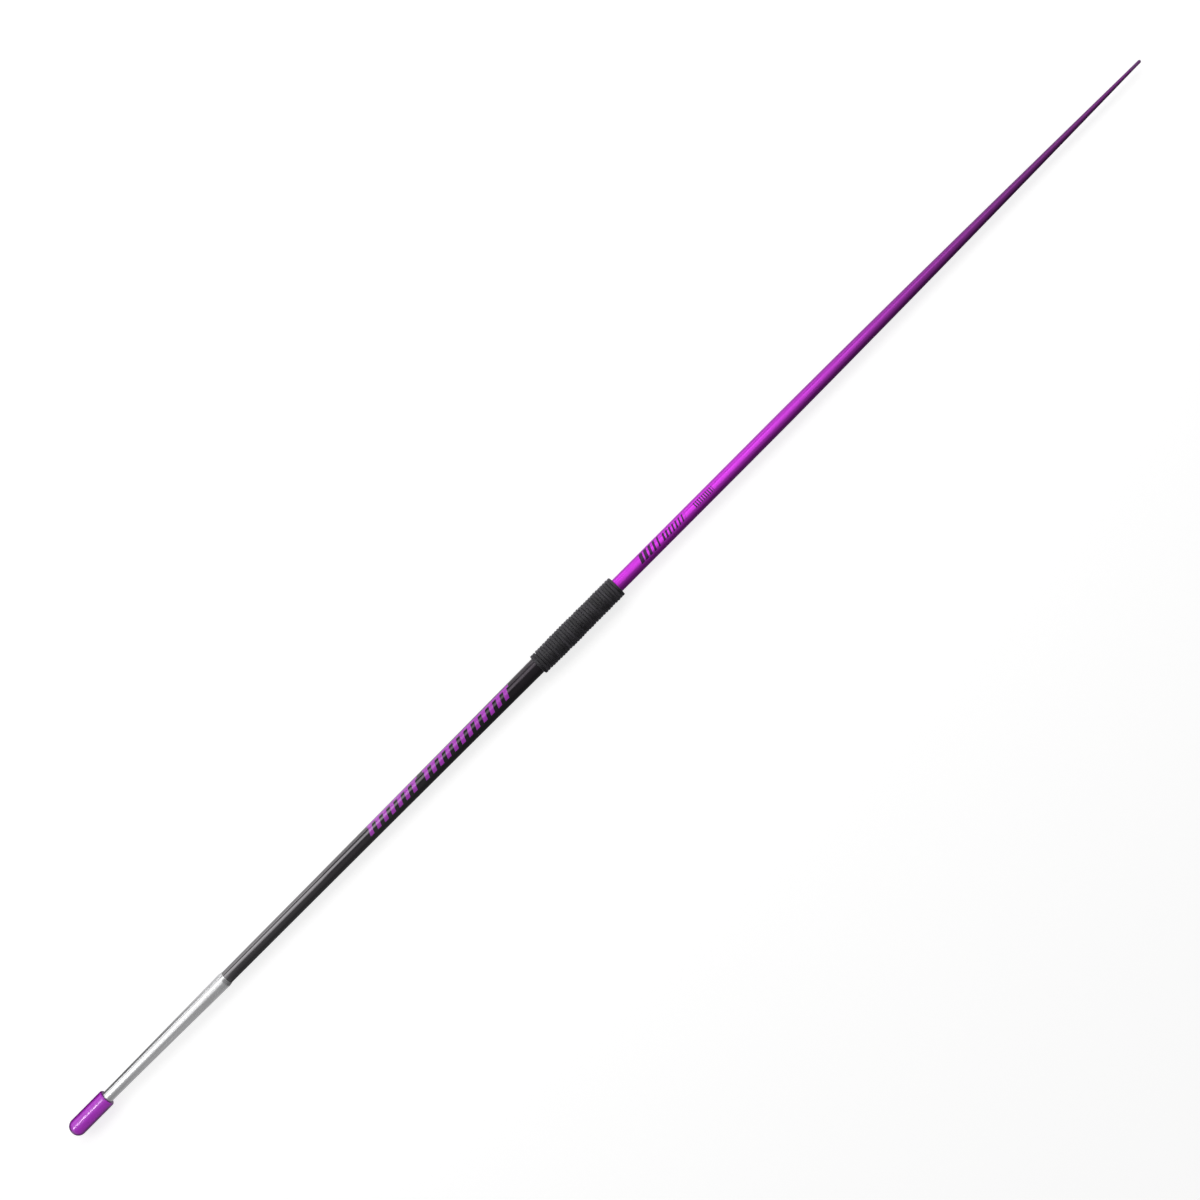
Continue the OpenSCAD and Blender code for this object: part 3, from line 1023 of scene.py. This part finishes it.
def cord_at(turns):
    """Where the cord's middle is after so many turns, and how wide and thick it is there"""
    end = min(smooth_step(turns, 0, TUCK), smooth_step(TURNS - turns, 0, TUCK))
    stepped = turns + STEP_SHARE * math.sin(2 * math.pi * turns) / (2 * math.pi)
    x = GRIP_HALF - stepped * PITCH
    x += wave(turns, WAVES_ALONG)
    x -= GROUP_GAP * smooth_step(turns, FIRST_GROUP - 0.1, FIRST_GROUP + 0.1)
    x += GROUP_GAP * smooth_step(turns, FIRST_GROUP, TURNS - 2)
    x = min(max(x, PITCH / 2 - GRIP_HALF), GRIP_HALF - PITCH / 2)
    thick = CORD_HALF_THICK * (0.2 + 0.8 * end)
    thick *= 1 + wave(turns, WAVES_THICK)
    radius = BASE_RADIUS + thick + CORD_LIFT - TUCK_DEPTH * (1 - end)
    radius += SWELL * math.exp(-(((x - SWELL_MIDDLE) / SWELL_REACH) ** 2))
    radius -= GROUP_DROP * smooth_step(FIRST_GROUP - turns, -0.1, 0.1)
    radius -= LAST_DROP * smooth_step(turns, TURNS - 1.6, TURNS - 0.9)
    radius += wave(turns, WAVES_OUT)
    width = CORD_HALF_WIDTH * (0.55 + 0.45 * end)
    return x, radius, width, thick


once_round = 2 * math.pi * (BASE_RADIUS + CORD_HALF_THICK)
cord_length = once_round * TURNS
print("turns:", TURNS, "pitch in mm:", round(PITCH / MM, 2), "cord in m:", round(cord_length, 2))

# %% [markdown]
# The section is between an oval and a rectangle, flattened where turns touch. The points are kept
# above the ground: the cord is soft, and its lowest side is pressed flat where the javelin lies.
# The texture coordinates run along the cord and round its section, so that the braid follows it.

# %% Wind the cord
RINGS_PER_TURN = 96
SECTION_POINTS = 16
SQUARENESS = 0.9


def section_offset(angle):
    """A point of the cord's section, as shares of its half width and half thickness"""
    across, out = math.cos(angle), math.sin(angle)
    wide = math.copysign(abs(across) ** SQUARENESS, across)
    return wide, math.copysign(abs(out) ** SQUARENESS, out)


section = [section_offset(2 * math.pi * k / SECTION_POINTS) for k in range(SECTION_POINTS)]
ring_count = TURNS * RINGS_PER_TURN + 1
vertices, faces, ring_places = [], [], []
for ring in range(ring_count):
    turns = ring / RINGS_PER_TURN
    x, radius, width, thick = cord_at(turns)
    around = 2 * math.pi * turns + math.pi
    ring_places.append(turns * once_round)
    for across, out in section:
        distance = radius + out * thick
        y, z = distance * math.sin(around), distance * math.cos(around)
        vertices.append((x + across * width, y, max(z, cad_low.z)))
for ring in range(ring_count - 1):
    for k in range(SECTION_POINTS):
        here, there = ring * SECTION_POINTS, (ring + 1) * SECTION_POINTS
        onward = (k + 1) % SECTION_POINTS
        faces.append((here + k, here + onward, there + onward, there + k))
faces.append(tuple(range(SECTION_POINTS)))
faces.append(tuple(range(len(vertices) - SECTION_POINTS, len(vertices))))
cord = new_object("wound_cord", vertices, faces)

cord_map = cord.data.uv_layers.new(name="cord_map")
for polygon in cord.data.polygons:
    rings = [cord.data.loops[i].vertex_index // SECTION_POINTS for i in polygon.loop_indices]
    slots = [cord.data.loops[i].vertex_index % SECTION_POINTS for i in polygon.loop_indices]
    wraps = max(slots) == SECTION_POINTS - 1 and len(slots) == 4 and min(slots) == 0
    for i, ring, slot in zip(polygon.loop_indices, rings, slots):
        round_share = (SECTION_POINTS if wraps and slot == 0 else slot) / SECTION_POINTS
        cord_map.data[i].uv = (ring_places[ring], round_share)
close_skin(cord)
print("cord faces:", len(cord.data.polygons))

# %% [markdown]
# A braid is two sets of strands that cross: one winds round the cord to the left and one to the
# right. Each set is a slanted wave in the cord's own coordinates, and a checker of the two decides
# which set lies on top. Wax keeps the fibres down, so the surface is dark with a soft sheen. The
# colour is paler in random patches and from turn to turn. It is darkened toward the grooves between
# turns and in the braid's low strands, a painted shade, so the grooves stay black.

# %% Cord finish
STRANDS = 8
BRAID_REPEAT = 6.2 * MM
# The dark colour also stands for the painted shade in the grooves and low strands.
CORD_DARK_AND_SHADE = colour(0.004, 0.0037, 0.0046)
CORD_LIGHT = colour(0.075, 0.069, 0.083)
TURN_LENGTH = 98 * MM
FIBRE_SCALE = 2600.0
WORN_ALONG = 26.0
WORN_ROUND = 0.9

cord_finish, tree, shader = new_finish(
    "cord", Specular_IOR_Level=0.32, Sheen_Weight=0.25, Sheen_Roughness=0.35,
    Sheen_Tint=colour(0.86, 0.8, 1.0),
)
winding = tree.add("ShaderNodeUVMap", uv_map="cord_map").outputs[0]
u, v = tree.add("ShaderNodeSeparateXYZ", {0: winding}).outputs[:2]
down = tree.math("MULTIPLY", u, 1 / BRAID_REPEAT)
round_cord = tree.math("MULTIPLY", v, STRANDS / 2)
left = tree.math("MULTIPLY", tree.math("ADD", down, round_cord), 2 * math.pi)
right = tree.math("MULTIPLY", tree.math("SUBTRACT", down, round_cord), 2 * math.pi)
left_wave = tree.math("SINE", left)
right_wave = tree.math("SINE", right)
checker = tree.ramp(tree.math("MULTIPLY", left_wave, right_wave), -0.25, 0.25)
left_strand = tree.math("ABSOLUTE", left_wave)
right_strand = tree.math("ABSOLUTE", right_wave)
on_top = tree.add("ShaderNodeMix", {0: checker, 2: left_strand, 3: right_strand}).outputs[0]
spot = tree.add("ShaderNodeTexCoord").outputs["Object"]
fibre = tree.noise(spot, FIBRE_SCALE, detail=3.0)
height = tree.math("ADD", on_top, tree.math("MULTIPLY", fibre, 0.5))
outward = tree.math("SINE", tree.math("MULTIPLY", v, 2 * math.pi))
stretch = tree.add("ShaderNodeCombineXYZ", {
    0: tree.math("MULTIPLY", u, WORN_ALONG),
    1: tree.math("MULTIPLY", outward, WORN_ROUND),
}).outputs[0]
worn_through = tree.ramp(tree.noise(stretch, 1.0, detail=3.0), 0.35, 0.7)
# Painted shade: the colour darkens toward the grooves between turns and in the braid's low strands.
painted_groove_shade = tree.ramp(outward, 0.35, 0.97)
painted_braid_shade = tree.ramp(height, 0.3, 1.4)
tone_and_painted_shade = tree.math("MULTIPLY", painted_braid_shade, tree.ramp(worn_through, 0.0, 1.0, low=0.45))
from_turn_to_turn = tree.noise(tree.math("MULTIPLY", u, 1 / TURN_LENGTH), 1.3)
tone_and_painted_shade = tree.math("MULTIPLY", tone_and_painted_shade, tree.ramp(from_turn_to_turn, 0.35, 0.65, low=0.15))
tone_and_painted_shade = tree.math("MULTIPLY", tone_and_painted_shade, painted_groove_shade)
tree.feed(shader["Base Color"], tree.mix(tone_and_painted_shade, CORD_DARK_AND_SHADE, CORD_LIGHT))
tree.feed(shader["Roughness"], tree.ramp(worn_through, 0.0, 1.0, low=0.42, high=0.6))
tree.feed(shader["Normal"], tree.bump(height, 0.18 * MM))
place_piece(cord, "grip_cord", "javelin", cord_finish)
print("finish:", cord_finish.name, "strands:", STRANDS)

# %% [markdown]
# ## The pieces inside
#
# The sleeve, the weight and its stops can't be seen, and of the rubber base only the ends show. The
# CAD solids are good enough for them, so they stay and only get a finish.

# %% Finish the inner pieces
METAL_ROUGH = (0.3, 0.42)
STEEL_ROUGH = (0.28, 0.4)
RUBBER_ROUGH = (0.6, 0.75)


def inner_finish(name, dark, light, rough, metallic=0.0):
    """A finish whose colour and roughness vary with the haze"""
    finish, tree, shader = new_finish(name, Metallic=metallic)
    haze = tree.group(used, {"Spread": 60.0})["Haze"]
    tree.feed(shader["Base Color"], tree.mix(haze, colour(*dark), colour(*light)))
    tree.feed(shader["Roughness"], tree.ramp(haze, 0.0, 1.0, *rough))
    return finish


plain_aluminium = inner_finish(
    "plain_aluminium", (0.5, 0.5, 0.51), (0.6, 0.6, 0.61), METAL_ROUGH, metallic=1.0,
)
stop_rubber = inner_finish("stop_rubber", (0.022,) * 3, (0.036,) * 3, RUBBER_ROUGH)
weight_steel = inner_finish(
    "weight_steel", (0.36, 0.36, 0.38), (0.44, 0.44, 0.46), STEEL_ROUGH, metallic=1.0,
)
base_rubber = inner_finish(
    "base_rubber", (0.016, 0.016, 0.018), (0.026, 0.026, 0.028), RUBBER_ROUGH,
)
inner = {
    "joint_sleeve": plain_aluminium,
    "weight_stop_front": stop_rubber,
    "balance_weight": weight_steel,
    "weight_stop_rear": stop_rubber,
    "grip_base": base_rubber,
}
for node, finish in inner.items():
    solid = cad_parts[node]
    solid.data.materials.clear()
    solid.data.materials.append(finish)
print("inner pieces:", len(inner))

# %% [markdown]
# ## Measure
#
# The finer surfaces should fill the same box as the CAD solids, apart from a little for the cord.

# %% Compare the boxes
seen_low, seen_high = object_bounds()
for axis, name in enumerate("xyz"):
    below = (seen_low[axis] - cad_low[axis]) / MM
    above = (seen_high[axis] - cad_high[axis]) / MM
    print(name, "low side moved by", round(below, 3), "mm, high side by", round(above, 3), "mm")
